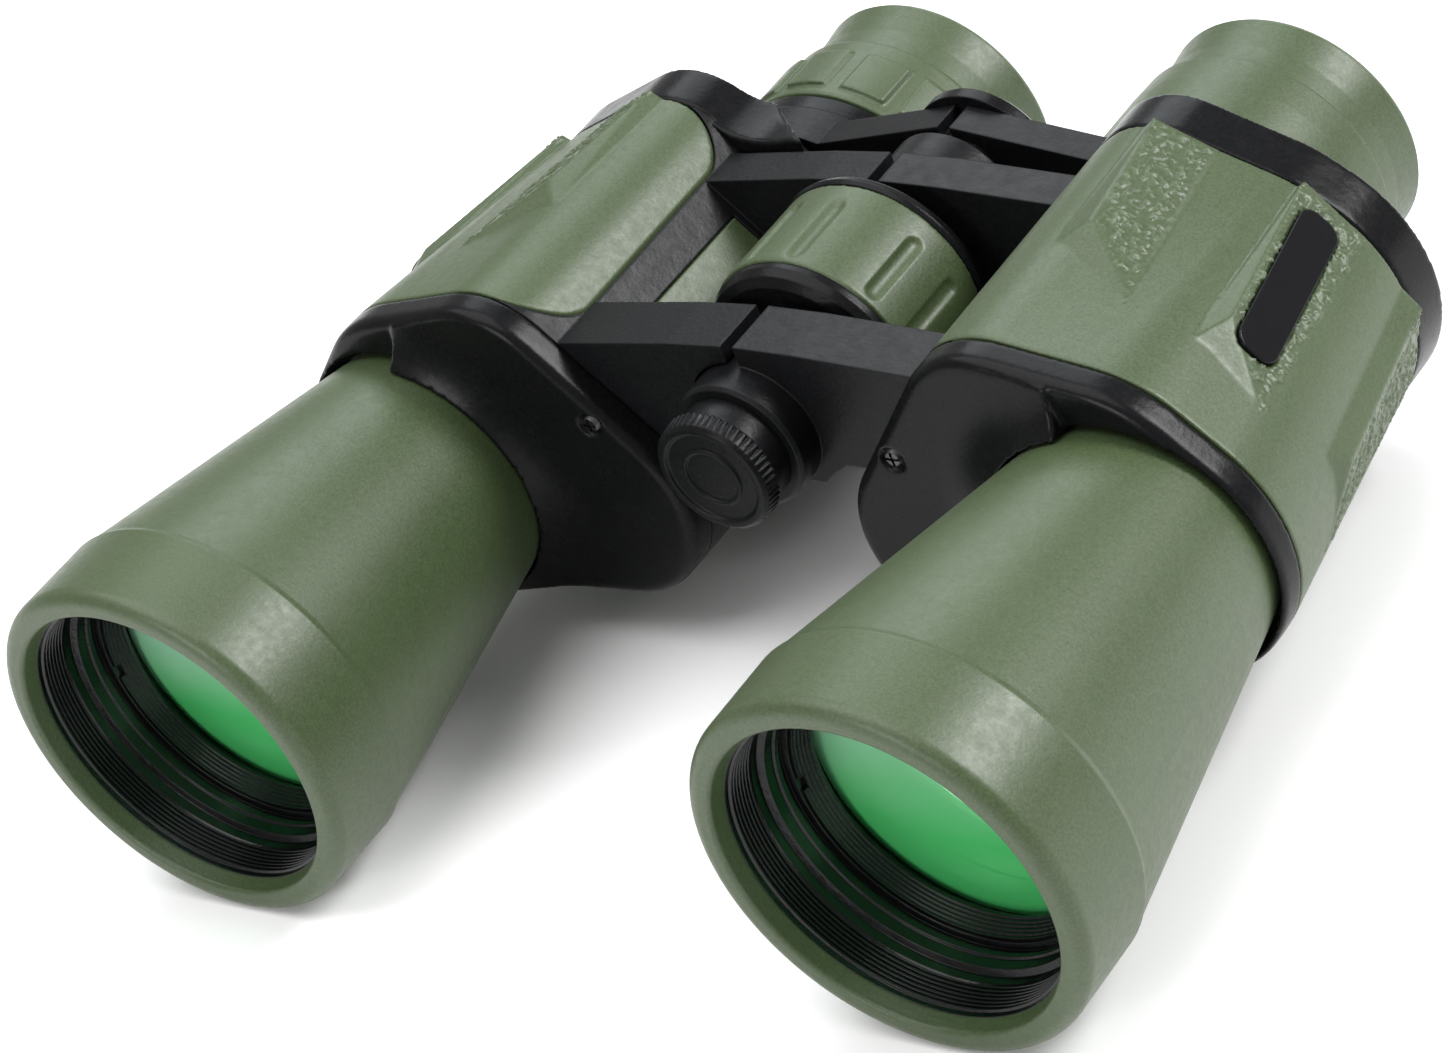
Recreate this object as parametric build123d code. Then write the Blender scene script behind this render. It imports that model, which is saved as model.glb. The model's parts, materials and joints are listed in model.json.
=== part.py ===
from build123d import *
import os
from math import atan2, cos, degrees, radians, sin

# Centre-focus Porro-prism binocular, 50 mm class.  Millimetres, +Z up, +Y from the
# objectives to the eyepieces, +X towards the user's left-hand side.
# Every function below works from the hinge pin: X = 0 and Z = 0 on its axis, Y = 0 at
# the front rims.  place() moves a finished piece to the part's own frame, whose origin
# is the bottom centre of the whole instrument.

# ---- driving dimensions -------------------------------------------------------------
OBJ_X, OBJ_Z = 67.6, -11.9          # objective axis from the hinge pin
EYE_X, EYE_Z = 35.2, -15.5          # eyepiece axis from the hinge pin (70.4 mm apart)
RIM_FRONT = 0.0                     # foremost face of the barrels
CUP_REAR = 177.3                    # rearmost lip of the eyecups
RIM_R = 31.6                        # outer radius of the barrel's parallel rim
RIM_END = 16.0                      # where the rim's parallel part ends
HOOD_R = 26.8                       # opening in the front of the barrel sleeve
CONE_START_R, CONE_END_R = 31.2, 21.0   # barrel cone at its two ends
CONE_START, CONE_END = 17.0, 76.0
GLASS_R = 24.4                      # objective glass
CLEAR_R = 22.6                      # clear opening of the objective's retaining ring
CROWN_EDGE = (21.2, 23.6)           # front glass, edge from front to rear
CROWN_SAG = (2.4, 2.2)              # how far its two faces bulge

COVER_FRONT, COVER_REAR = 71.0, 76.5    # front prism cover
BODY_REAR = 129.5                   # rear face of the prism housing
BACK_REAR = 138.0                   # rear face of the rear prism cover
ARMOUR = 1.8                        # thickness of the rubber armour
WALL = 2.2                          # wall of the prism housing
SEAM = 0.3                          # open joint line round the armour

# Outline of the body as a taut loop round four circles (x, z, radius): eyepiece lobe,
# prism corner, shoulder, objective lobe.  It narrows from front to rear.
FRONT_LOOP = [(35.2, -15.5, 18.4), (48.5, 5.5, 15.4), (62.5, -4.5, 22.3), (67.6, -11.9, 23.6)]
REAR_LOOP = [(35.2, -15.5, 18.4), (47.0, 6.0, 14.3), (57.5, -7.0, 21.8), (59.0, -11.0, 24.0)]

AXLE_R = 6.0                        # hinge tube
BORE_R = 6.05                       # running bores on the hinge tube
SPINDLE_R = 3.95                    # focus spindle inside the hinge tube
KNUCKLE_R = 11.3                    # hinge knuckles
KNUCKLE_GAP = 0.4                   # clearance round a knuckle in the opposite arm
ARM_GAP = 1.2                       # half the slot between facing arms
FRONT_ARM = (76.5, 81.6, 82.0, 87.0)    # front bridge: first knuckle, second knuckle
REAR_ARM = (119.0, 122.6, 123.0, 126.5)
BRIDGE_ARM = (138.4, 141.2, 141.5, 144.4)   # eyepiece bridge
HUB_R = 8.8                         # hub halves of the eyepiece bridge
RING_END = 146.3                    # rear edge of the rings round the eyepieces
PLATE_R = 12.6                      # end plate behind the hub

WHEEL = (90.0, 93.5, 113.0, 115.0)  # front face, grip start, grip end, rear face
WHEEL_R = 18.3
GRIP_R = 16.3
GROOVE_PAIRS = 5                    # finger grooves of the wheel stand in pairs
GROOVE_ANGLES = (12.7, 40.0)        # the two grooves of the first pair, degrees
GROOVE_R = 2.2
GROOVE_DEPTH = 0.65
GROOVE_LONG = 11.6

CAP_FACE, CAP_REAR, CAP_R = 63.3, 66.5, 9.9
THREAD_R = 3.175                    # quarter-inch tripod thread, major radius
BUSH_FRONT, BUSH_R = 66.6, 9.3

EYE_R = 23.0                        # eyepiece shell
SHELL_FRONT, SHELL_REAR = 138.4, 166.0
SLEEVE_R = 15.55                    # sliding eyepiece sleeve
GUIDE_R = 15.6                      # guide tube bore
GUIDE_OUTER = 17.2                  # guide tube outside
CELL_R = 19.0                       # ocular cell
DIOPTER = (150.2, 165.8)            # diopter ring, front and rear
STEP_END = 161.6                    # shell's neck under the diopter ring, clear of the eyecup
PADS = 13

SHELF = (99.0, 101.0)               # prism shelf plate
PRISM_LONG, PRISM_WIDE, PRISM_HIGH = 40.0, 20.0, 20.0
CORNER_X, CORNER_Z = 49.6, 2.5      # where the light passes between the two prisms

SIDES = {"left": 1, "right": -1}
HINGE_HEIGHT = RIM_R - OBJ_Z        # hinge axis above the lowest point of the rims
MID_Y = (RIM_FRONT + CUP_REAR) / 2


# ---- helpers ------------------------------------------------------------------------
def place(shape):
    """Move a piece from the hinge frame to the part's own frame."""
    return Pos(0, -MID_Y, HINGE_HEIGHT) * shape


def turned(points):
    """Solid of revolution about the Y axis from (radius, y) points."""
    return revolve(make_face(Polyline(*points, close=True)), Axis.Y)


def tube(outer, inner, y0, y1):
    """Plain tube, or a rod when inner is 0."""
    return turned([(inner, y0), (outer, y0), (outer, y1), (inner, y1)])


def at_objective(shape):
    return Pos(OBJ_X, 0, OBJ_Z) * shape


def at_eyepiece(shape):
    return Pos(EYE_X, 0, EYE_Z) * shape


def section(y):
    """Sketch plane across the instrument at y, with +X right and +Z up."""
    return Plane(origin=(0, y, 0), x_dir=(1, 0, 0), z_dir=(0, -1, 0))


def slab(sketch, y0, y1):
    """Extrude a section sketch from y0 to y1."""
    return extrude(section(y1) * sketch, y1 - y0)


def loop_at(y):
    """The four circles of the body's outline at y."""
    t = (y - COVER_REAR) / (BODY_REAR - COVER_REAR)
    return [tuple(a + (b - a) * t for a, b in zip(f, r)) for f, r in zip(FRONT_LOOP, REAR_LOOP)]


def outline(loop, inset=0.0):
    """Taut loop round the circles, moved inwards by inset."""
    edges = ShapeList()
    for x, z, r in loop:
        edges += (Pos(x, z) * Circle(r - inset)).edges()
    return make_hull(edges)


def body_solid(inset, y0, y1):
    """Tapering body between two sections, its outline moved inwards by inset."""
    ends = [section(y) * outline(loop_at(y), inset) for y in (y0, y1)]
    return loft(ends, ruled=True)


def polygon(*points):
    return make_face(Polyline(*points, close=True))


def block(x0, x1, y0, y1, z0, z1):
    return Pos((x0 + x1) / 2, (y0 + y1) / 2, (z0 + z1) / 2) * Box(x1 - x0, y1 - y0, z1 - z0)


# ---- prism housing and its armour -----------------------------------------------------
def armour_patch(clearance):
    """Plan outline of the main armour, extruded through the whole height."""
    inner_x = 34.3 - clearance
    front = COVER_REAR + SEAM - clearance
    rear = BODY_REAR + clearance
    patch = Pos(inner_x + 40, (front + rear) / 2) * RectangleRounded(80, rear - front, 9.5 + clearance)
    return extrude(Pos(0, 0, -60) * patch, 120)


def grip_patch(clearance):
    """Strip of armour on the inner wall, between the two bridges."""
    return block(0, 31.5, 88.6 - clearance, 117.4 + clearance, -26 - clearance, 6.6 + clearance)


def arm_profile():
    """Side profile of a hinge arm, from the hinge to inside the housing wall."""
    return polygon(
        (0, 14.8), (12, 14.3), (33.5, 12.4), (38, 12), (38, -8), (21, -8),
        (18.5, -6.3), (14.5, -6.2), (11.5, -8.0), (9.0, -10.0), (0, -10.0),
    )


def arm(bridge, own_first, boss_front):
    """Hinge arm with its knuckle; own_first says which of the two knuckles it carries."""
    first, mid_a, mid_b, last = bridge
    solid = slab(arm_profile(), first, last)
    solid -= block(-30, ARM_GAP, first - 1, last + 1, -40, 40)
    own = (first, mid_a) if own_first else (mid_b, last)
    other = (first - 1, mid_a + KNUCKLE_GAP) if not own_first else (mid_b - KNUCKLE_GAP, last + 1)
    solid -= tube(KNUCKLE_R + KNUCKLE_GAP, 0, *other)
    solid += tube(KNUCKLE_R, 0, *own)
    if boss_front is not None:
        boss = tube(KNUCKLE_R, 0, boss_front, own[0])
        solid += chamfer(boss.edges().group_by(Axis.Y)[0], 0.6)
    return solid


def prism_housing(side):
    """Cast prism housing with the two hinge arms of its half."""
    left = side == "left"
    shell = body_solid(0, COVER_REAR, BODY_REAR)
    skin_space = shell - body_solid(ARMOUR, COVER_REAR - 1, BODY_REAR + 1)
    pockets = (skin_space & armour_patch(SEAM)) + (skin_space & grip_patch(SEAM))
    shell += arm(FRONT_ARM, left, COVER_FRONT if left else None)
    shell += arm(REAR_ARM, left, None)
    shell -= pockets
    shell -= body_solid(ARMOUR + WALL, COVER_REAR - 1, BODY_REAR + 1)
    bore = BORE_R if left else AXLE_R
    shell -= tube(bore, 0, COVER_FRONT - 5, BODY_REAR + 5)
    return shell


COVER_ROUND = 1.9                   # rounded front edge of the front cover
FLARE_R = 16.7                      # sweep of the front cover up to the barrel
FRONT_SCREW = (29.0, 0.8)           # screw through the front cover
REAR_SCREWS = [(65.5, 6.0), (66.0, -28.0)]  # screws through the rear cover


def triangle(a, b, c):
    return Face(Wire.make_polygon([a, b, c]))


def wedge_pad(heel, crest, nose, foot, tip, flush, root_rear, root_front):
    """Raised facet of the armour from its corners: heel and crest along the ridge, foot
    and nose along the bottom of the inner flank, tip and flush along the level edge."""
    faces = [
        triangle(heel, crest, tip), triangle(heel, tip, flush),
        triangle(heel, foot, nose), triangle(heel, nose, crest), triangle(crest, nose, tip),
        triangle(foot, root_rear, nose), triangle(nose, root_rear, root_front), triangle(nose, root_front, tip),
        triangle(tip, root_front, root_rear), triangle(tip, root_rear, flush),
        triangle(heel, flush, root_rear), triangle(heel, root_rear, foot),
    ]
    return Solid(Shell(faces))


def armour_pads():
    """The three raised, pebbled pads of one half: on top, at the side and at the hip."""
    rear = BODY_REAR
    top = wedge_pad((48.6, rear, 21.9), (51.8, 104.6, 21.9), (47.9, 99.7, 20.6), (46.2, rear, 20.2),
                    (62.9, 93.0, 17.1), (58.0, rear, 16.8), (50, rear, 10), (53, 104, 8))
    side = wedge_pad((71.6, rear, 12.0), (77.1, 97.0, 12.0), (74.2, 90.4, 12.7), (70.0, rear, 10.8),
                     (84.4, 87.1, 2.7), (77.1, rear, 4.6), (66, rear, 0), (72, 104, 0))
    hip = wedge_pad((84.9, rear, -10.1), (90.0, 96.5, -12.3), (88.4, 92.4, -8.4), (82.5, rear, -6.5),
                    (87.0, 88.2, -22.3), (79.4, rear, -23.7), (72, rear, -14), (76, 100, -15))
    return [top, side, hip]


BADGE_PLANE = Plane(origin=(77.9, 110.2, 7.55), x_dir=(-0.16, 0.987, 0.01), z_dir=(0.825, 0.13, 0.548))
BADGE_SINK = 0.75                   # depth of the plate's recess
BADGE_PROUD = 0.35                  # how far the plate stands out of the pad


def badge_solid(length, width, low, high):
    return extrude(BADGE_PLANE * Pos(0, 0, low) * RectangleRounded(length, width, 2.7), high - low)


def armour_outer():
    """Rubber armour of the outer side, with raised pads and the recess for the name plate."""
    inner = body_solid(ARMOUR, COVER_REAR - 1, BODY_REAR + 1)
    skin = (body_solid(0, COVER_REAR, BODY_REAR) - inner) & armour_patch(0)
    for pad in armour_pads():
        skin += pad - inner
    skin -= badge_solid(32.4, 7.7, -BADGE_SINK, 6)
    return skin


def armour_inner():
    """Narrow rubber strip on the inner wall."""
    skin = body_solid(0, COVER_REAR, BODY_REAR) - body_solid(ARMOUR, COVER_REAR - 1, BODY_REAR + 1)
    return skin & grip_patch(0)


def badge():
    """Blank oblong plate let into the side pad."""
    plate = badge_solid(32.0, 7.3, -BADGE_SINK, BADGE_PROUD)
    return fillet(plate.faces().sort_by_distance(BADGE_PLANE.origin + BADGE_PLANE.z_dir * 9)[0].edges(), 0.25)


# ---- prism covers -----------------------------------------------------------------------
def front_cover():
    """Front prism cover: a flat cap whose inner lobe sweeps forward round the barrel."""
    loop = FRONT_LOOP
    plate = slab(outline(loop), COVER_FRONT, COVER_REAR)
    plate = fillet(plate.edges().group_by(Axis.Y)[0], COVER_ROUND)
    bell = make_face(Curve() + [
        Polyline((33.0, COVER_FRONT), (33.0, 73.0), (20, 73.0), (20, 67.6), (22.9, 67.6)),
        RadiusArc((22.9, 67.6), (33.0, COVER_FRONT), FLARE_R),
    ])
    flare = at_objective(revolve(bell, Axis.Y))
    reach = 70
    step_angle, corner_angle = radians(101), radians(247)
    sector = polygon((OBJ_X, OBJ_Z),
                     (OBJ_X + reach * cos(step_angle), OBJ_Z + reach * sin(step_angle)),
                     (OBJ_X - reach, OBJ_Z + reach), (OBJ_X - reach, OBJ_Z - reach),
                     (OBJ_X + reach * cos(corner_angle), OBJ_Z + reach * sin(corner_angle)))
    lobe = flare & slab(outline(loop, 1.0), 60, 73) & slab(sector, 60, 73)
    plate += lobe
    plate -= slab(outline(loop, WALL), 73.4, COVER_REAR + 1)
    plate += at_objective(tube(23.2, 20, 73.4, COVER_REAR)) & slab(outline(loop, 0.5), 70, COVER_REAR)
    plate -= at_objective(turned([(0, 60), (23.2, 60), (23.2, COVER_FRONT), (21.35, 74.6),
                                  (21.35, 80), (0, 80)])) - slab(sector, 60, COVER_FRONT + 3)
    plate -= at_objective(turned([(0, 60), (22.7, 60), (22.7, 69.5), (21.35, 75.0), (21.35, 80), (0, 80)]))
    x, z = FRONT_SCREW
    plate += Pos(x, 0, z) * tube(2.8, 0, 73.0, COVER_REAR) & slab(outline(loop, 0.5), 70, COVER_REAR)
    plate -= Pos(x, 0, z) * tube(0.9, 0, 60, COVER_REAR + 1)
    return plate - Pos(x, 0, z) * tube(2.1, 0, 60, COVER_FRONT + 1.0)


def cover_screws():
    """Small cross-head screws of one half: one in the front cover, two in the rear cover."""
    screw = turned([(0, 0.1), (1.2, 0.2), (1.9, 0.95), (0.88, 0.95), (0.88, 5.0), (0, 5.0)])
    for angle in (0, 90):
        screw -= Rot(0, angle, 0) * Box(2.4, 1.2, 0.5)
    front = Pos(FRONT_SCREW[0], COVER_FRONT, FRONT_SCREW[1]) * screw
    rear = [Pos(x, BACK_REAR, z) * Rot(180, 0, 0) * screw for x, z in REAR_SCREWS]
    return Compound(children=[front] + rear)


def rear_cover(side):
    """Rear prism cover; on the right half a wing reaches in behind the rear bridge."""
    plate = slab(outline(REAR_LOOP), BODY_REAR, BACK_REAR)
    if side == "right":
        wave = Spline((20, 14.9), (28.5, 14.0), (35.5, 15.6), (42.2, 19.4), tangents=((1, -0.1), (1, 0.37)))
        wing = make_face(Curve() + [wave, Polyline((42.2, 19.4), (46, 12), (36, -9), (20, -9), (20, 14.9))])
        bevel = make_face(Polyline((19.5, 127.8), (31.5, 138.2), (19.5, 138.2), (19.5, 127.8)))
        plate += slab(wing, BODY_REAR - 1.5, BACK_REAR) - extrude(bevel, 25, both=True)
    plate -= slab(outline(REAR_LOOP, WALL), BODY_REAR - 2, BACK_REAR - 2.5)
    plate = plate - body_solid(-0.02, BODY_REAR - 6, BODY_REAR)
    plate -= at_eyepiece(tube(GUIDE_OUTER, 0, BODY_REAR - 5, BACK_REAR + 5))
    for x, z in REAR_SCREWS:
        plate += Pos(x, 0, z) * tube(2.8, 0, BACK_REAR - 6, BACK_REAR - 2)
        plate -= Pos(x, 0, z) * tube(0.9, 0, BACK_REAR - 7, BACK_REAR + 1)
        plate -= Pos(x, 0, z) * tube(2.1, 0, BACK_REAR - 1.0, BACK_REAR + 1)
    return plate


def eyepiece_guide():
    """Fixed tube in which the eyepiece sleeve slides."""
    return at_eyepiece(tube(GUIDE_OUTER, GUIDE_R, 130.6, 149.0))


def strap_lug():
    """Strap loop under the rear cover."""
    frame = Pos(56.9, 133.6, -35.0) * Rot(0, 95, 0)
    loop = frame * fillet(Box(9.0, 4.4, 15.0).edges().filter_by(Axis.Y), 2.6)
    loop -= frame * Pos(1.6, 0, 0) * Box(2.6, 8.0, 11.0)
    return loop - slab(outline(REAR_LOOP), BODY_REAR - 1, BACK_REAR)


# ---- objective barrel ----------------------------------------------------------------------
def cone_r(y):
    return CONE_START_R + (CONE_END_R - CONE_START_R) * (y - CONE_START) / (CONE_END - CONE_START)


def barrel_sleeve():
    """Rubber-covered objective barrel: parallel rim, then a cone into the front cover."""
    lip = 2.3
    edge = 0.8
    wall = 2.6
    throat = HOOD_R + 0.5
    rim = make_face(
        Curve() + [
            Polyline((HOOD_R, 3.0), (throat, RIM_FRONT + edge)),
            RadiusArc((throat, RIM_FRONT + edge), (throat + edge, RIM_FRONT), -edge),
            Polyline((throat + edge, RIM_FRONT), (RIM_R - lip, RIM_FRONT)),
            RadiusArc((RIM_R - lip, RIM_FRONT), (RIM_R, RIM_FRONT + lip), -lip),
            Polyline((RIM_R, RIM_FRONT + lip), (RIM_R, RIM_END), (CONE_START_R, CONE_START),
                     (CONE_END_R, CONE_END), (CONE_END_R - wall, CONE_END),
                     (cone_r(20) - wall, 20), (28.8, 12), (28.8, 3.0), (HOOD_R, 3.0)),
        ]
    )
    return at_objective(revolve(rim, Axis.Y))


def objective_tube():
    """Black inner tube: anti-glare threads, the seat of the glass, then the light baffle."""
    wall = 2.6
    steps = [(26.7, 3.0)]
    for i in range(7):
        y = 3.8 + i * 0.75
        steps += [(26.7, y), (26.3, y + 0.2), (26.3, y + 0.4), (26.7, y + 0.6)]
    steps += [(26.5, 9.3), (26.5, 10.8), (25.5, 11.3), (25.5, 13.2), (25.1, 13.4), (25.1, 14.2), (25.5, 14.4)]
    steps += [(25.5, 15.2), (GLASS_R + 0.05, 15.5), (GLASS_R + 0.05, 27.0), (22.5, 27.0), (22.5, 29.0)]
    steps += [(cone_r(60) - wall - 1.4, 60.0), (cone_r(74) - wall - 1.4, 74.0)]
    outside = [(cone_r(74) - wall, 74.0), (cone_r(20) - wall, 20.0), (28.8, 12.0), (28.8, 3.0)]
    return at_objective(turned(steps + outside))


def retaining_ring():
    """Threaded ring that holds the objective, with two spanner notches."""
    steps = [(GLASS_R, 15.9), (GLASS_R, 21.0), (CLEAR_R, 19.2)]
    for i in range(5):
        steps += [(CLEAR_R + i * 0.28, 18.7 - i * 0.55), (CLEAR_R + (i + 1) * 0.28, 18.6 - i * 0.55)]
    ring = turned(steps + [(CLEAR_R + 1.4, 15.9)])
    ring -= Pos(0, 15.9, 0) * Box(60, 1.8, 2.2)
    return at_objective(ring)


def ball_radius(radius, sag):
    """Radius of the sphere whose cap has this rim radius and height."""
    return (radius ** 2 + sag ** 2) / (2 * sag)


def lens(radius, front, rear, sag_front, sag_rear):
    """Round lens, its edge from y = front to rear, bulging beyond them by the two sags."""
    ball_front = ball_radius(radius, sag_front)
    ball_rear = ball_radius(radius, sag_rear)
    blank = tube(radius, 0, front - sag_front - 1, rear + sag_rear + 1)
    blank &= Pos(0, front - sag_front + ball_front, 0) * Sphere(ball_front)
    return blank & Pos(0, rear + sag_rear - ball_rear, 0) * Sphere(ball_rear)


def objective_crown():
    """Front element of the cemented objective."""
    return at_objective(lens(GLASS_R, *CROWN_EDGE, *CROWN_SAG))


def objective_flint():
    """Rear element of the cemented objective, hollowed to match the front one."""
    flint = tube(GLASS_R, 0, CROWN_EDGE[1], 27.0) - lens(GLASS_R, *CROWN_EDGE, *CROWN_SAG)
    return at_objective(flint)


# ---- prisms --------------------------------------------------------------------------------
def prism_axes(front):
    """Centre and direction (in X, Z) of a prism's long face."""
    if front:
        return ((CORNER_X + EYE_X) / 2, (CORNER_Z + EYE_Z) / 2,
                degrees(atan2(EYE_Z - CORNER_Z, EYE_X - CORNER_X)))
    return ((CORNER_X + OBJ_X) / 2, (CORNER_Z + OBJ_Z) / 2,
            degrees(atan2(CORNER_Z - OBJ_Z, CORNER_X - OBJ_X)))


def on_shelf(shape, front):
    """Stand a piece, drawn along X with its base on Y = 0 and rising to +Y, on the shelf."""
    x, z, angle = prism_axes(front)
    if front:
        shape = mirror(shape, Plane.XZ)
    y = SHELF[0] if front else SHELF[1]
    return Pos(x, y, z) * Rot(0, -angle, 0) * shape


def prism(front):
    """Right-angle prism with a clipped apex, long face on the shelf."""
    half = PRISM_LONG / 2
    flat = 1.0
    profile = polygon((-half, 0), (half, 0), (half, 0.8), (flat, PRISM_HIGH - flat),
                      (-flat, PRISM_HIGH - flat), (-half, 0.8))
    return on_shelf(extrude(Plane.XY.offset(-PRISM_WIDE / 2) * profile, PRISM_WIDE), front)


def prism_clip(front):
    """Spring strap over a prism's apex, its two legs on the shelf."""
    outer = PRISM_WIDE / 2 + 0.9
    top = PRISM_HIGH - 1.0
    strap = block(-3, 3, 0, top + 0.6, -outer, outer) - block(-4, 4, -1, top, -outer + 0.6, outer - 0.6)
    return on_shelf(strap, front)


def prism_clips():
    return Compound(children=[prism_clip(True), prism_clip(False)])


def prism_shelf():
    """Plate across the housing that carries both prisms, with a window for each beam."""
    plate = body_solid(ARMOUR + WALL + 0.03, COVER_REAR - 1, BODY_REAR + 1) & block(0, 120, *SHELF, -60, 60)
    for x, z in ((OBJ_X, OBJ_Z), (CORNER_X, CORNER_Z), (EYE_X, EYE_Z)):
        plate -= Pos(x, 0, z) * tube(8.6, 0, SHELF[0] - 1, SHELF[1] + 1)
    return plate


# ---- hinge, tripod thread and focus -----------------------------------------------------------
def hinge_axle():
    """Hollow hinge tube, fixed in the right half's knuckles."""
    return tube(AXLE_R, SPINDLE_R + 0.05, 71.1, 136.6)


def tripod_bush():
    """Threaded bush in the front end of the hinge tube."""
    bush = turned([(0, BUSH_FRONT), (BUSH_R - 0.4, BUSH_FRONT), (BUSH_R, BUSH_FRONT + 0.4), (BUSH_R, 70.9),
                   (SPINDLE_R + 0.05, 70.9), (SPINDLE_R + 0.05, 80.0), (0, 80.0)])
    return bush - tube(THREAD_R, 0, BUSH_FRONT - 1, 78.0)


def tripod_cap_stud():
    """Threaded stud moulded into the tripod-hole cap."""
    return tube(THREAD_R - 0.05, 0, 64.6, 75.5)


def tripod_cap():
    """Knurled dust cap that screws into the tripod thread."""
    cap = turned([(0, CAP_FACE + 0.5), (7.9, CAP_FACE + 0.5), (8.3, CAP_FACE), (9.2, CAP_FACE),
                  (CAP_R, CAP_FACE + 0.6), (CAP_R + 0.3, CAP_REAR), (0, CAP_REAR)])
    cap -= tube(THREAD_R - 0.02, 0, 64.6, CAP_REAR + 1)
    cap += tube(5.2, 4.6, CAP_FACE + 0.15, CAP_FACE + 0.6)
    notch = Pos(CAP_R + 0.35, (CAP_FACE + CAP_REAR) / 2, 0) * Rot(0, 45, 0) * Box(0.75, 5, 0.75)
    for i in range(54):
        cap -= Rot(0, i * 360 / 54, 0) * notch
    return cap


def wheel_core():
    """Focus wheel body with its two black rims and the hub on the hinge tube."""
    front, grip0, grip1, rear = WHEEL
    return turned([(BORE_R, front - 2.8), (9.0, front - 2.8), (9.0, front), (15.6, front), (17.2, front + 0.8),
                   (17.9, front + 2.2), (17.9, grip0), (GRIP_R, grip0), (GRIP_R, grip1), (18.4, grip1),
                   (18.7, grip1 + 0.8), (18.3, rear), (9.0, rear), (9.0, rear + 3.8), (BORE_R, rear + 3.8)])


def wheel_grip():
    """Rubber sleeve of the focus wheel with rounded finger grooves."""
    sleeve = tube(WHEEL_R, GRIP_R, WHEEL[1], WHEEL[2])
    groove = Rot(90, 0, 0) * Cylinder(GROOVE_R, GROOVE_LONG)
    for end in (-1, 1):
        groove += Pos(0, end * GROOVE_LONG / 2, 0) * Sphere(GROOVE_R)
    groove = Pos(WHEEL_R + GROOVE_R - GROOVE_DEPTH, 102.0, 0) * groove
    for pair in range(GROOVE_PAIRS):
        for angle in GROOVE_ANGLES:
            sleeve -= Rot(0, -angle - pair * 360 / GROOVE_PAIRS, 0) * groove
    return sleeve


def focus_spindle():
    """Spindle inside the hinge tube that the wheel drives and the eyepiece bridge hangs on."""
    return tube(SPINDLE_R, 0, 100.0, 137.9) + tube(SPINDLE_R - 0.05, 0, 137.9, BRIDGE_ARM[3])


def rear_collar():
    """Collar on the hinge tube between the rear knuckle and the eyepiece bridge."""
    return turned([(AXLE_R, 126.6), (11.7, 126.6), (11.7, 136.0), (11.1, 136.6), (AXLE_R, 136.6)])


def bridge_profile():
    """Side profile of an eyepiece bridge arm, from the hinge to inside the eyepiece ring."""
    return polygon((0, 11.3), (27.5, 6.1), (30, 5.0), (30, -14), (18, -12), (12, -8.8), (7, -7.4), (0, -7.4))


def bridge_arm(side):
    """Arm of the eyepiece bridge with its hub half and the ring round the eyepiece."""
    left = side == "left"
    first, mid_a, mid_b, last = BRIDGE_ARM
    solid = slab(bridge_profile(), first, last) - block(-30, ARM_GAP, first - 1, last + 1, -40, 40)
    solid -= tube(HUB_R + KNUCKLE_GAP, 0, *((first - 1, mid_a + 0.3) if left else (mid_b - 0.3, last + 1)))
    solid += at_eyepiece(tube(EYE_R + 0.3, EYE_R - 3.0, first, RING_END - 0.2))
    solid += tube(HUB_R, 0, *((mid_b, last) if left else (first, mid_a)))
    solid -= at_eyepiece(tube(EYE_R - 3.0, 0, first - 1, last + 1))
    solid -= tube(SPINDLE_R + 0.1 if left else SPINDLE_R - 0.05, 0, first - 1, last + 1)
    return solid


def bridge_cap():
    """Domed end plate on the spindle behind the bridge hub."""
    first = BRIDGE_ARM[3] + 0.2
    cap = turned([(0, first), (PLATE_R, first), (PLATE_R, first + 2.2), (PLATE_R - 0.8, first + 3.0),
                  (8.0, first + 3.6), (0, first + 3.8)])
    cap += tube(SPINDLE_R - 0.05, 0, BRIDGE_ARM[3], first)
    return cap


# ---- eyepieces --------------------------------------------------------------------------------
def eyepiece_sleeve():
    """Metal sleeve that slides in the guide tube and carries the eyepiece shell."""
    return at_eyepiece(tube(SLEEVE_R, 14.0, 131.0, 153.5))


def eyepiece_shell(side):
    """Eyepiece shell; on the right-hand side it is stepped down under the diopter ring."""
    front = BRIDGE_ARM[0]
    seat = [(EYE_R - 3.0, front), (17.6, front), (17.6, 150.4), (SLEEVE_R, 150.4), (SLEEVE_R, 153.5),
            (CELL_R + 0.05, 153.5)]
    if side == "left":
        seat += [(CELL_R + 0.05, SHELL_REAR - 3.0), (22.1, SHELL_REAR - 3.0), (22.1, SHELL_REAR),
                 (22.5, SHELL_REAR), (22.8, SHELL_REAR - 0.4), (EYE_R, 160.0)]
    else:
        seat += [(CELL_R + 0.05, STEP_END), (20.4, STEP_END), (20.4, DIOPTER[0] - 0.2),
                 (22.6, DIOPTER[0] - 0.2), (EYE_R, DIOPTER[0] - 0.8)]
    return at_eyepiece(turned(seat + [(EYE_R, RING_END), (EYE_R - 3.0, RING_END)]))


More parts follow.
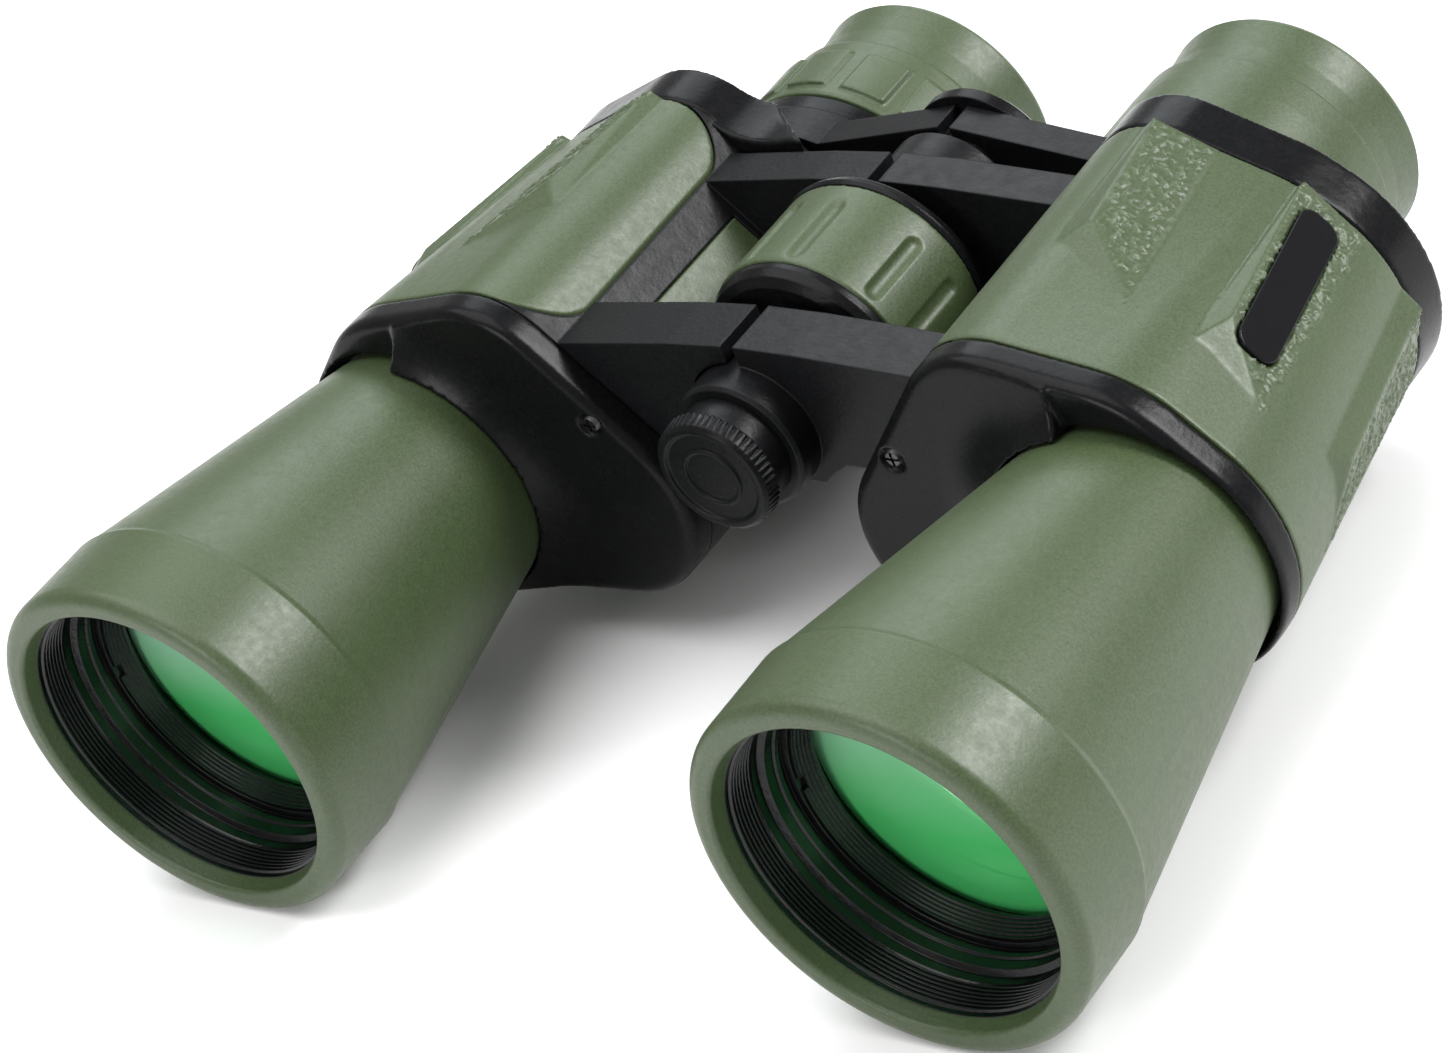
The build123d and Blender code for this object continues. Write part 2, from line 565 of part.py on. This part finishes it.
def diopter_ring():
    """Ring with raised grip pads round the right-hand eyepiece."""
    front, rear = DIOPTER
    ring = turned([(20.45, front), (22.8, front), (EYE_R, front + 0.4), (EYE_R, 160.0), (22.8, rear - 0.4),
                   (22.5, rear), (22.1, rear), (22.1, STEP_END + 0.1), (20.45, STEP_END + 0.1)])
    pad_angle = 360 / PADS * 0.72
    band = tube(EYE_R + 0.7, EYE_R - 1, front + 2.3, front + 11.6)
    wedge = slab(polygon((0, 0), (40 * cos(radians(-pad_angle / 2)), 40 * sin(radians(-pad_angle / 2))),
                         (40 * cos(radians(pad_angle / 2)), 40 * sin(radians(pad_angle / 2)))), 150, 165)
    pad = band & wedge
    for i in range(PADS):
        ring += Rot(0, i * 360 / PADS, 0) * pad
    return at_eyepiece(ring)


def ocular_cell():
    """Black metal cell that holds the eyepiece glasses."""
    return at_eyepiece(turned([
        (14.05, 155.0), (CELL_R, 155.0), (CELL_R, 167.6), (17.2, 167.6), (16.0, 168.2), (12.2, 168.0),
        (11.4, 167.4), (11.4, 167.0), (12.55, 166.6), (12.55, 162.0), (12.0, 162.0), (12.0, 160.5), (14.05, 160.5),
    ]))


def field_lens():
    return at_eyepiece(lens(14.0, 157.2, 158.2, 1.6, 1.6))


def eye_lens():
    return at_eyepiece(lens(12.5, 163.4, 165.2, 1.3, 1.3))


def eyecup():
    """Rubber eyecup: waist, then a gentle flare to a rounded lip."""
    return at_eyepiece(turned([
        (CELL_R, 163.4), (21.4, 163.4), (21.75, 164.0), (21.7, 170.5), (22.0, 174.0), (22.3, 176.6), (21.9, CUP_REAR),
        (20.9, CUP_REAR), (20.4, 176.8), (19.6, 171.0), (18.3, 168.6), (17.5, 168.3), (17.5, 167.62), (CELL_R, 167.6),
    ]))


# ---- the whole instrument ------------------------------------------------------------------------
def half(side):
    """All pieces of one half, drawn for the +X side."""
    pieces = {
        "prism_housing": prism_housing(side),
        "armour_outer": armour_outer(),
        "armour_inner": armour_inner(),
        "badge": badge(),
        "front_cover": front_cover(),
        "cover_screws": cover_screws(),
        "rear_cover": rear_cover(side),
        "strap_lug": strap_lug(),
        "eyepiece_guide": eyepiece_guide(),
        "barrel_sleeve": barrel_sleeve(),
        "objective_tube": objective_tube(),
        "retaining_ring": retaining_ring(),
        "objective_crown": objective_crown(),
        "objective_flint": objective_flint(),
        "prism_shelf": prism_shelf(),
        "prism_front": prism(True),
        "prism_rear": prism(False),
        "prism_clips": prism_clips(),
        "bridge_arm": bridge_arm(side),
        "eyepiece_sleeve": eyepiece_sleeve(),
        "eyepiece_shell": eyepiece_shell(side),
        "ocular_cell": ocular_cell(),
        "field_lens": field_lens(),
        "eye_lens": eye_lens(),
        "eyecup": eyecup(),
    }
    if side == "right":
        pieces["diopter_ring"] = diopter_ring()
        pieces = {name: mirror(piece, Plane.YZ) for name, piece in pieces.items()}
    return {f"{name}_{side}": piece for name, piece in pieces.items()}


def centre():
    """Pieces on the hinge axis."""
    return {
        "hinge_axle": hinge_axle(),
        "tripod_bush": tripod_bush(),
        "tripod_cap_stud": tripod_cap_stud(),
        "tripod_cap": tripod_cap(),
        "focus_wheel_core": wheel_core(),
        "focus_wheel_grip": wheel_grip(),
        "focus_spindle": focus_spindle(),
        "rear_collar": rear_collar(),
        "bridge_cap": bridge_cap(),
    }


os.makedirs("parts", exist_ok=True)
for node, shape in {**half("left"), **half("right"), **centre()}.items():
    export_step(place(shape), f"parts/{node}.step")
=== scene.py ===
import json
import math

import bmesh
import bpy
import numpy as np
from mathutils import Matrix, Vector, noise


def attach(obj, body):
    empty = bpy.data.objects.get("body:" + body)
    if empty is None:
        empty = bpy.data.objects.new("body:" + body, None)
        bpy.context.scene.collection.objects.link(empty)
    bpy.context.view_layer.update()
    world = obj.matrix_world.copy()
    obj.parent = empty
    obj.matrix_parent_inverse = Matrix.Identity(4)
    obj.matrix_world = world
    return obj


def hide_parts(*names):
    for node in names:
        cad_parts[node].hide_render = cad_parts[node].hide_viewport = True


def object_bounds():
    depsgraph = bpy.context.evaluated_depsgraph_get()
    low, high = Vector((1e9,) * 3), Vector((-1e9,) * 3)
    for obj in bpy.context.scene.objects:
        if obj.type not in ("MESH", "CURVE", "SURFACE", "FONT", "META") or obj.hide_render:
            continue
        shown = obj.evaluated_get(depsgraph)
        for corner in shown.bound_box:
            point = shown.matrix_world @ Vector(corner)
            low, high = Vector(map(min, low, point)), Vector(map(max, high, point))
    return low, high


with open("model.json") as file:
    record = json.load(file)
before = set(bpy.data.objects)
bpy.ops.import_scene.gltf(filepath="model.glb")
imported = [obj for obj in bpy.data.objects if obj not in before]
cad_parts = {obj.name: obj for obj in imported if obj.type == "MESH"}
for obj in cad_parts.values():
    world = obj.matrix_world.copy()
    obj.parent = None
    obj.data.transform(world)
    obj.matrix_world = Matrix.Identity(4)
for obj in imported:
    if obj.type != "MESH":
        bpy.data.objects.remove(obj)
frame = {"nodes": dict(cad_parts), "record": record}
NODES = frame["nodes"]
CAD_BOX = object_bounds()
MM = 0.001
SIDES = {"left": 1, "right": -1}

# The hinge axis in the row frame: every place below that isn't read from a node is given
# in millimetres from it, with Y counted from the front rims.
HINGE_Z = 43.5
RIM_Y = CAD_BOX[0][1] / MM


def at(side, x, y, z):
    """A point of one half, given in the hinge frame, in metres of the row frame."""
    return Vector((side * x, y + RIM_Y, z + HINGE_Z)) * MM


# ---- camera, lights and floor ---------------------------------------------------------
CAMERA_AT = Vector((0.45235, -0.44621, 0.43109))
CAMERA_AIM = Vector((0.00494, -0.03154, 0.040))
CAMERA_ROLL = math.radians(-23.083)
LENS_MM = 121.824
SENSOR_MM = 36.0
LAMP_AIM = (0, 0, 0.04)             # all lamps face the middle of the instrument
WORLD_LIGHT = 0.5
FLOOR_HALF = 3.0                    # metres from the middle of the floor to its edge


def look(place, target):
    """Matrix of a lamp or camera that stands at place and faces target."""
    turn = (Vector(target) - Vector(place)).to_track_quat("-Z", "Y").to_matrix().to_4x4()
    return Matrix.Translation(Vector(place)) @ turn


def add(name, data):
    obj = bpy.data.objects.new(name, data)
    bpy.context.scene.collection.objects.link(obj)
    return obj


def make_camera():
    """The camera at the photograph's viewing angle."""
    data = bpy.data.cameras.new("camera")
    data.lens = LENS_MM
    data.sensor_width = SENSOR_MM
    data.clip_end = 10.0
    camera = add("camera", data)
    camera.matrix_world = look(CAMERA_AT, CAMERA_AIM) @ Matrix.Rotation(CAMERA_ROLL, 4, "Z")
    bpy.context.scene.camera = camera


def area_light(name, place, size, power, colour=(1.0, 1.0, 1.0)):
    data = bpy.data.lights.new(name, "AREA")
    data.shape = "RECTANGLE"
    data.size, data.size_y = size
    data.energy = power
    data.color = colour
    add(name, data).matrix_world = look(place, LAMP_AIM)


def make_lights():
    """A key softbox on the right, a big one overhead, and softer ones behind and in front."""
    area_light("key", (0.75, 0.55, 0.80), (0.45, 0.45), 15)
    area_light("overhead", (-0.25, -0.15, 1.25), (1.3, 1.3), 17)
    area_light("back", (-0.45, 0.85, 0.80), (0.6, 0.6), 4, (0.90, 0.96, 1.0))
    area_light("front", (-0.10, -1.20, 0.50), (0.5, 0.35), 5)
    world = bpy.data.worlds.new("studio")
    world.use_nodes = True
    world.node_tree.nodes["Background"].inputs["Color"].default_value = (1, 1, 1, 1)
    world.node_tree.nodes["Background"].inputs["Strength"].default_value = WORLD_LIGHT
    bpy.context.scene.world = world
    bpy.context.scene.view_settings.view_transform = "Standard"


def make_floor():
    """A plain pale floor with a faint mottle."""
    mesh = bpy.data.meshes.new("floor")
    bm = bmesh.new()
    bmesh.ops.create_grid(bm, x_segments=1, y_segments=1, size=FLOOR_HALF)
    bm.to_mesh(mesh)
    bm.free()
    floor = add("floor", mesh)
    m = Nodes("floor")
    tone = m.ramp(m.noise(6, 3), 0.3, 0.7, (0.94, 0.94, 0.94), (0.96, 0.96, 0.96))
    mesh.materials.append(m.shade(Base_Color=tone, Roughness=0.8))


# ---- materials --------------------------------------------------------------------------
class Nodes:
    """Small helper for building a node material."""

    def __init__(self, name):
        self.material = bpy.data.materials.new(name)
        self.material.use_nodes = True
        self.tree = self.material.node_tree
        self.shader = self.tree.nodes["Principled BSDF"]
        self.coords = self.tree.nodes.new("ShaderNodeTexCoord").outputs["Object"]

    def node(self, kind, setup=None, **inputs):
        made = self.tree.nodes.new(kind)
        for key, value in (setup or {}).items():
            setattr(made, key, value)
        for key, value in inputs.items():
            self.put(made, key.replace("_", " "), value)
        return made

    def put(self, node, key, value):
        socket = node.inputs[int(key)] if key.isdigit() else node.inputs[key]
        if isinstance(value, bpy.types.NodeSocket):
            self.tree.links.new(value, socket)
        else:
            socket.default_value = value

    def noise(self, scale, detail=2.0, roughness=0.5, vector=None):
        made = self.node("ShaderNodeTexNoise", Vector=vector or self.coords, Scale=scale, Detail=detail,
                         Roughness=roughness)
        return made.outputs["Fac"]

    def math(self, operation, a, b=0.0, c=0.0):
        made = self.tree.nodes.new("ShaderNodeMath")
        made.operation = operation
        for i, value in enumerate((a, b, c)):
            self.put(made, str(i), value)
        return made.outputs[0]

    def ramp(self, value, low, high, dark, light):
        made = self.node("ShaderNodeValToRGB", Fac=value)
        made.color_ramp.elements[0].position = low
        made.color_ramp.elements[0].color = (*dark, 1)
        made.color_ramp.elements[1].position = high
        made.color_ramp.elements[1].color = (*light, 1)
        return made.outputs["Color"]

    def remap(self, value, low, high, out_low, out_high):
        made = self.node("ShaderNodeMapRange", Value=value)
        for key, number in (("From Min", low), ("From Max", high), ("To Min", out_low), ("To Max", out_high)):
            made.inputs[key].default_value = number
        return made.outputs["Result"]

    def mix(self, factor, a, b):
        made = self.tree.nodes.new("ShaderNodeMix")
        made.data_type = "RGBA"
        for key, value in ((0, factor), (6, a), (7, b)):
            if isinstance(value, tuple):
                value = (*value, 1)
            self.put(made, str(key), value)
        return made.outputs[2]

    def rounded(self, radius):
        """Normal with the sharp edges rounded off."""
        return self.node("ShaderNodeBevel", {"samples": 6}, Radius=radius).outputs["Normal"]

    def edge(self, rounded):
        """1 on sharp edges, 0 on flat faces."""
        flat = self.tree.nodes.new("ShaderNodeNewGeometry").outputs["Normal"]
        made = self.node("ShaderNodeVectorMath", {"operation": "DOT_PRODUCT"})
        self.tree.links.new(rounded, made.inputs[0])
        self.tree.links.new(flat, made.inputs[1])
        return self.remap(made.outputs["Value"], 0.985, 0.86, 0.0, 1.0)

    def bump(self, height, distance, strength=1.0, normal=None):
        made = self.node("ShaderNodeBump", Height=height, Distance=distance, Strength=strength)
        if normal is not None:
            self.put(made, "Normal", normal)
        return made.outputs["Normal"]

    def shade(self, **inputs):
        for key, value in inputs.items():
            if isinstance(value, tuple) and len(value) == 3:
                value = (*value, 1)
            self.put(self.shader, key.replace("_", " "), value)
        return self.material


def green_rubber(name="green_rubber", dense=False):
    """Olive rubber paint: a fine speckled grain, edges made a little paler, and on a dense shell the crests
    of the raised relief too, partly as rubbed wear and partly as a painted highlight.
    A dense shell already has its edges rounded and its relief raised in the mesh."""
    m = Nodes(name)
    speckle = m.noise(2300, 3, 0.6)
    cloud = m.noise(24, 3)
    colour = m.ramp(speckle, 0.34, 0.68, (0.031, 0.049, 0.018), (0.053, 0.078, 0.031))
    colour = m.mix(m.remap(cloud, 0.42, 0.72, 0.0, 0.35), colour, (0.056, 0.081, 0.036))
    rounded = m.rounded(0.0005)
    wear_and_highlight = m.edge(rounded)
    if dense:
        relief = m.node("ShaderNodeAttribute", {"attribute_name": "relief"}).outputs["Fac"]
        wear_and_highlight = m.math("MAXIMUM", wear_and_highlight, m.remap(relief, 0.35, 0.9, 0.0, 1.0))
    normal = m.bump(m.noise(1500, 4, 0.65), 0.00005, 0.7, None if dense else rounded)
    # painted highlight: edges and wrinkle crests are mixed towards a paler green, partly as rubbed wear
    colour = m.mix(m.math("MULTIPLY", wear_and_highlight, 0.4), colour, (0.15, 0.19, 0.12))
    roughness = m.remap(m.noise(700, 3), 0.3, 0.7, 0.36, 0.45)
    return m.shade(Base_Color=colour, Roughness=roughness, Normal=normal, Specular_IOR_Level=0.45,
                   Sheen_Weight=0.02, Sheen_Roughness=0.4)


def black_satin(name, base, rough, gloss, grain=1800, depth=0.00006, round_off=0.00045):
    """Satin black casting or moulding: fine grain, softened edges made a little lighter, partly as wear and
    partly as a painted highlight.
    base is its darkest tone, rough its range of roughness and gloss its specular level."""
    m = Nodes(name)
    speckle = m.noise(grain, 3, 0.6)
    dark = (base, base * 1.03, base * 1.15)
    colour = m.ramp(speckle, 0.35, 0.7, dark, tuple(c * 1.7 for c in dark))
    rounded = m.rounded(round_off)
    # painted highlight: the edges are mixed a little lighter, partly as wear
    colour = m.mix(m.math("MULTIPLY", m.edge(rounded), 0.2), colour, (0.04, 0.042, 0.047))
    normal = m.bump(m.noise(grain * 0.7, 3, 0.6), depth, 0.8, rounded)
    roughness = m.remap(m.noise(420, 4), 0.3, 0.7, *rough)
    return m.shade(Base_Color=colour, Roughness=roughness, Normal=normal, Specular_IOR_Level=gloss)


def name_plate():
    """Smooth black name plate with faint dust."""
    m = Nodes("badge_plastic")
    dust = m.noise(3000, 4, 0.7)
    colour = m.ramp(dust, 0.62, 0.8, (0.004, 0.004, 0.005), (0.02, 0.02, 0.022))
    return m.shade(Base_Color=colour, Roughness=m.remap(dust, 0.3, 0.7, 0.18, 0.28), Normal=m.rounded(0.0002),
                   Specular_IOR_Level=0.15)


def turned_metal(name, colour, roughness=0.28):
    """Metal with fine turning marks round the instrument's long axis."""
    m = Nodes(name)
    stretch = m.node("ShaderNodeMapping", Vector=m.coords, Scale=(12.0, 1.0, 12.0)).outputs["Vector"]
    marks = m.noise(260, 3, 0.6, stretch)
    low = tuple(c * 0.8 for c in colour)
    tone = m.ramp(marks, 0.3, 0.7, low, colour)
    spread = m.remap(marks, 0.3, 0.7, roughness, roughness + 0.12)
    return m.shade(Base_Color=tone, Roughness=spread, Metallic=1.0, Normal=m.bump(marks, 0.00002, 0.5))


def polish(m):
    """Roughness of a polished glass with the faintest smear in it."""
    return m.remap(m.noise(60, 4), 0.4, 0.8, 0.01, 0.06)


def clear_glass(name, tint):
    m = Nodes(name)
    return m.shade(Base_Color=tint, Roughness=polish(m), Transmission_Weight=1.0, IOR=1.52)


def coated_glass():
    """Objective glass with a strong green coating, with a painted reflection that makes it paler towards the
    top.
    """
    m = Nodes("coated_glass")
    # painted reflection: the green is mixed towards a pale mint with height, broken up by noise
    split = m.node("ShaderNodeSeparateXYZ", Vector=m.coords)
    height = m.math("ADD", split.outputs["Z"], m.math("MULTIPLY", m.noise(45, 2), 0.022))
    painted_reflection = m.remap(height, 0.034, 0.058, 0.0, 1.0)
    tint = m.ramp(painted_reflection, 0.0, 1.0, (0.11, 0.78, 0.22), (0.55, 0.90, 0.68))
    return m.shade(Base_Color=tint, Roughness=polish(m), Metallic=0.4, IOR=1.6,
                   Coat_Weight=1.0, Coat_Roughness=0.02)


MATERIALS = {
    "green_rubber": green_rubber(),
    "black_casting": black_satin("black_casting", 0.0045, (0.30, 0.40), 0.14),
    "black_plastic": black_satin("black_plastic", 0.0035, (0.22, 0.29), 0.11, grain=1300, depth=0.00004),
    "badge_plastic": name_plate(),
    "black_steel": turned_metal("black_steel", (0.09, 0.09, 0.095), 0.25),
    "baffle_black": black_satin("baffle_black", 0.002, (0.16, 0.26), 0.3, round_off=0.00015),
    "coated_glass": coated_glass(),
    "lens_glass": clear_glass("lens_glass", (0.80, 0.93, 0.88)),
    "prism_glass": clear_glass("prism_glass", (0.90, 0.96, 0.95)),
    "bright_metal": turned_metal("bright_metal", (0.62, 0.62, 0.64)),
    "spring_steel": turned_metal("spring_steel", (0.48, 0.48, 0.50)),
    "brass_insert": turned_metal("brass_insert", (0.62, 0.44, 0.18)),
}
GREEN_SHELL = green_rubber("green_shell", dense=True)
SLOT_OF = {s["node"]: s["material_slot"] for s in frame["record"]["subparts"]}
BODY_OF = {node: body for body, nodes in frame["record"]["behaviour"]["bodies"].items() for node in nodes}


def paint(obj, material):
    obj.data.materials.clear()
    obj.data.materials.append(material)


def assign(node, material):
    if not node.material_slots:
        node.data.materials.append(material)
    for place in node.material_slots:
        place.material = material


for name, node in NODES.items():
    assign(node, MATERIALS[SLOT_OF[name]])


# ---- moulded pieces with soft edges --------------------------------------------------------
def softened(node, voxel, rounds, material):
    """A moulded copy of a CAD node: its shell remeshed at voxel millimetres and its edges
    relaxed by some rounds of smoothing."""
    shell = add("soft_" + node, NODES[node].data.copy())
    remesh = shell.modifiers.new("remesh", "REMESH")
    remesh.mode = "VOXEL"
    remesh.voxel_size = voxel * MM
    relax = shell.modifiers.new("relax", "SMOOTH")
    relax.factor = 0.5
    relax.iterations = rounds
    graph = bpy.context.evaluated_depsgraph_get()
    mesh = bpy.data.meshes.new_from_object(shell.evaluated_get(graph))
    shell.modifiers.clear()
    shell.data = mesh
    mesh.shade_smooth()
    paint(shell, material)
    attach(shell, BODY_OF[node])
    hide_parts(node)
    return shell


RELIEF = 0.40                       # height of the wrinkles on the pads, millimetres
MARGIN, FADE = 0.3, 0.8             # smooth margin round the wrinkles, and how fast they rise
REACH = 2.5                         # how far a point may stand off a pad's plane
SEAM, SLACK = 1.0, 0.2              # half width and slack of the seam between a pad's two triangles

# Wrinkled tops of the three pads of one half, in the hinge frame: ridge at the rear and
# front, then the tip and the level corner at the rear. The middle one runs on past its pad.
PAD_TOPS = [
    ((48.6, 129.5, 21.9), (51.8, 104.6, 21.9), (62.9, 93.0, 17.1), (58.0, 129.5, 16.8)),
    ((71.6, 129.5, 12.0), (77.1, 97.0, 12.0), (84.9, 86.8, 2.0), (79.3, 129.5, 1.2)),
    ((84.9, 129.5, -10.1), (90.0, 96.5, -12.3), (87.0, 88.2, -22.3), (79.4, 129.5, -23.7)),
]


def inside(points, a, b, c):
    """How far inside triangle a b c each point falls when seen along its normal, in metres,
    where it also lies near the triangle's plane."""
    normal = np.cross(b - a, c - a)
    normal /= np.linalg.norm(normal)
    depth = np.full(len(points), 1.0)
    for p, q in ((a, b), (b, c), (c, a)):
        inward = np.cross(normal, q - p)
        inward /= np.linalg.norm(inward)
        depth = np.minimum(depth, (points - p) @ inward)
    near = np.abs((points - a) @ normal) < REACH * MM
    return np.where(near, depth, -1.0)


def pad_depth(points, side):
    """How far from the rim of the nearest pad each point lies, in millimetres, inwards."""
    depth = np.full(len(points), -1.0)
    for heel, crest, tip, flush in PAD_TOPS:
        corners = [np.array(at(side, *p)) for p in (heel, crest, tip, flush)]
        joined = np.maximum(inside(points, *corners[:3]), inside(points, corners[0], corners[2], corners[3]))
        seam = np.linalg.norm(np.cross(points - corners[0], corners[2] - corners[0]), axis=1)
        seam /= np.linalg.norm(corners[2] - corners[0])
        on_seam = (joined > -SLACK * MM) & (seam < SEAM * MM)
        joined = np.where(on_seam, np.maximum(joined, SEAM * MM), joined)
        depth = np.maximum(depth, joined)
    return depth / MM


noise.seed_set(1)                   # unseeded, noise_vector takes its offsets from the clock


def wrinkle(p):
    """Height of the wrinkled relief at p (millimetres), from 0 to 1: short raised strokes."""
    bend = noise.noise_vector(p * 0.3) * 0.5
    stroke = abs(noise.noise(Vector((p.x * 0.6, p.y * 0.95, p.z * 0.6)) + bend))
    gap = noise.noise(p * 0.7 + Vector((31.7, 5.2, 11.9)))
    return max(0.0, 1.0 - stroke / 0.24) * min(1.0, max(0.0, 0.85 + gap * 2.0))


def raise_wrinkles(armour, side):
    """Emboss the wrinkled relief of the pads into the armour's mesh."""
    mesh = armour.data
    points = np.empty(len(mesh.vertices) * 3, dtype=np.float32)
    mesh.vertices.foreach_get("co", points)
    points = points.reshape(-1, 3)
    strength = np.clip((pad_depth(points, side) - MARGIN) / FADE, 0, 1)
    normals = np.empty(len(points) * 3, dtype=np.float32)
    mesh.vertices.foreach_get("normal", normals)
    normals = normals.reshape(-1, 3)
    for i in np.nonzero(strength > 0)[0]:
        strength[i] *= wrinkle(Vector(points[i].tolist()) / MM)
    points += normals * (RELIEF * MM * strength[:, None])
    mesh.vertices.foreach_set("co", points.ravel())
    mesh.attributes.new("relief", "FLOAT", "POINT").data.foreach_set("value", strength.astype(np.float32))
    mesh.update()


for half, side in SIDES.items():
    raise_wrinkles(softened("armour_outer_" + half, 0.3, 6, GREEN_SHELL), side)
    softened("front_cover_" + half, 0.35, 8, MATERIALS["black_plastic"])
    softened("rear_cover_" + half, 0.4, 6, MATERIALS["black_plastic"])
softened("focus_wheel_grip", 0.3, 5, GREEN_SHELL)
softened("diopter_ring_right", 0.3, 4, GREEN_SHELL)

make_camera()
make_lights()
make_floor()
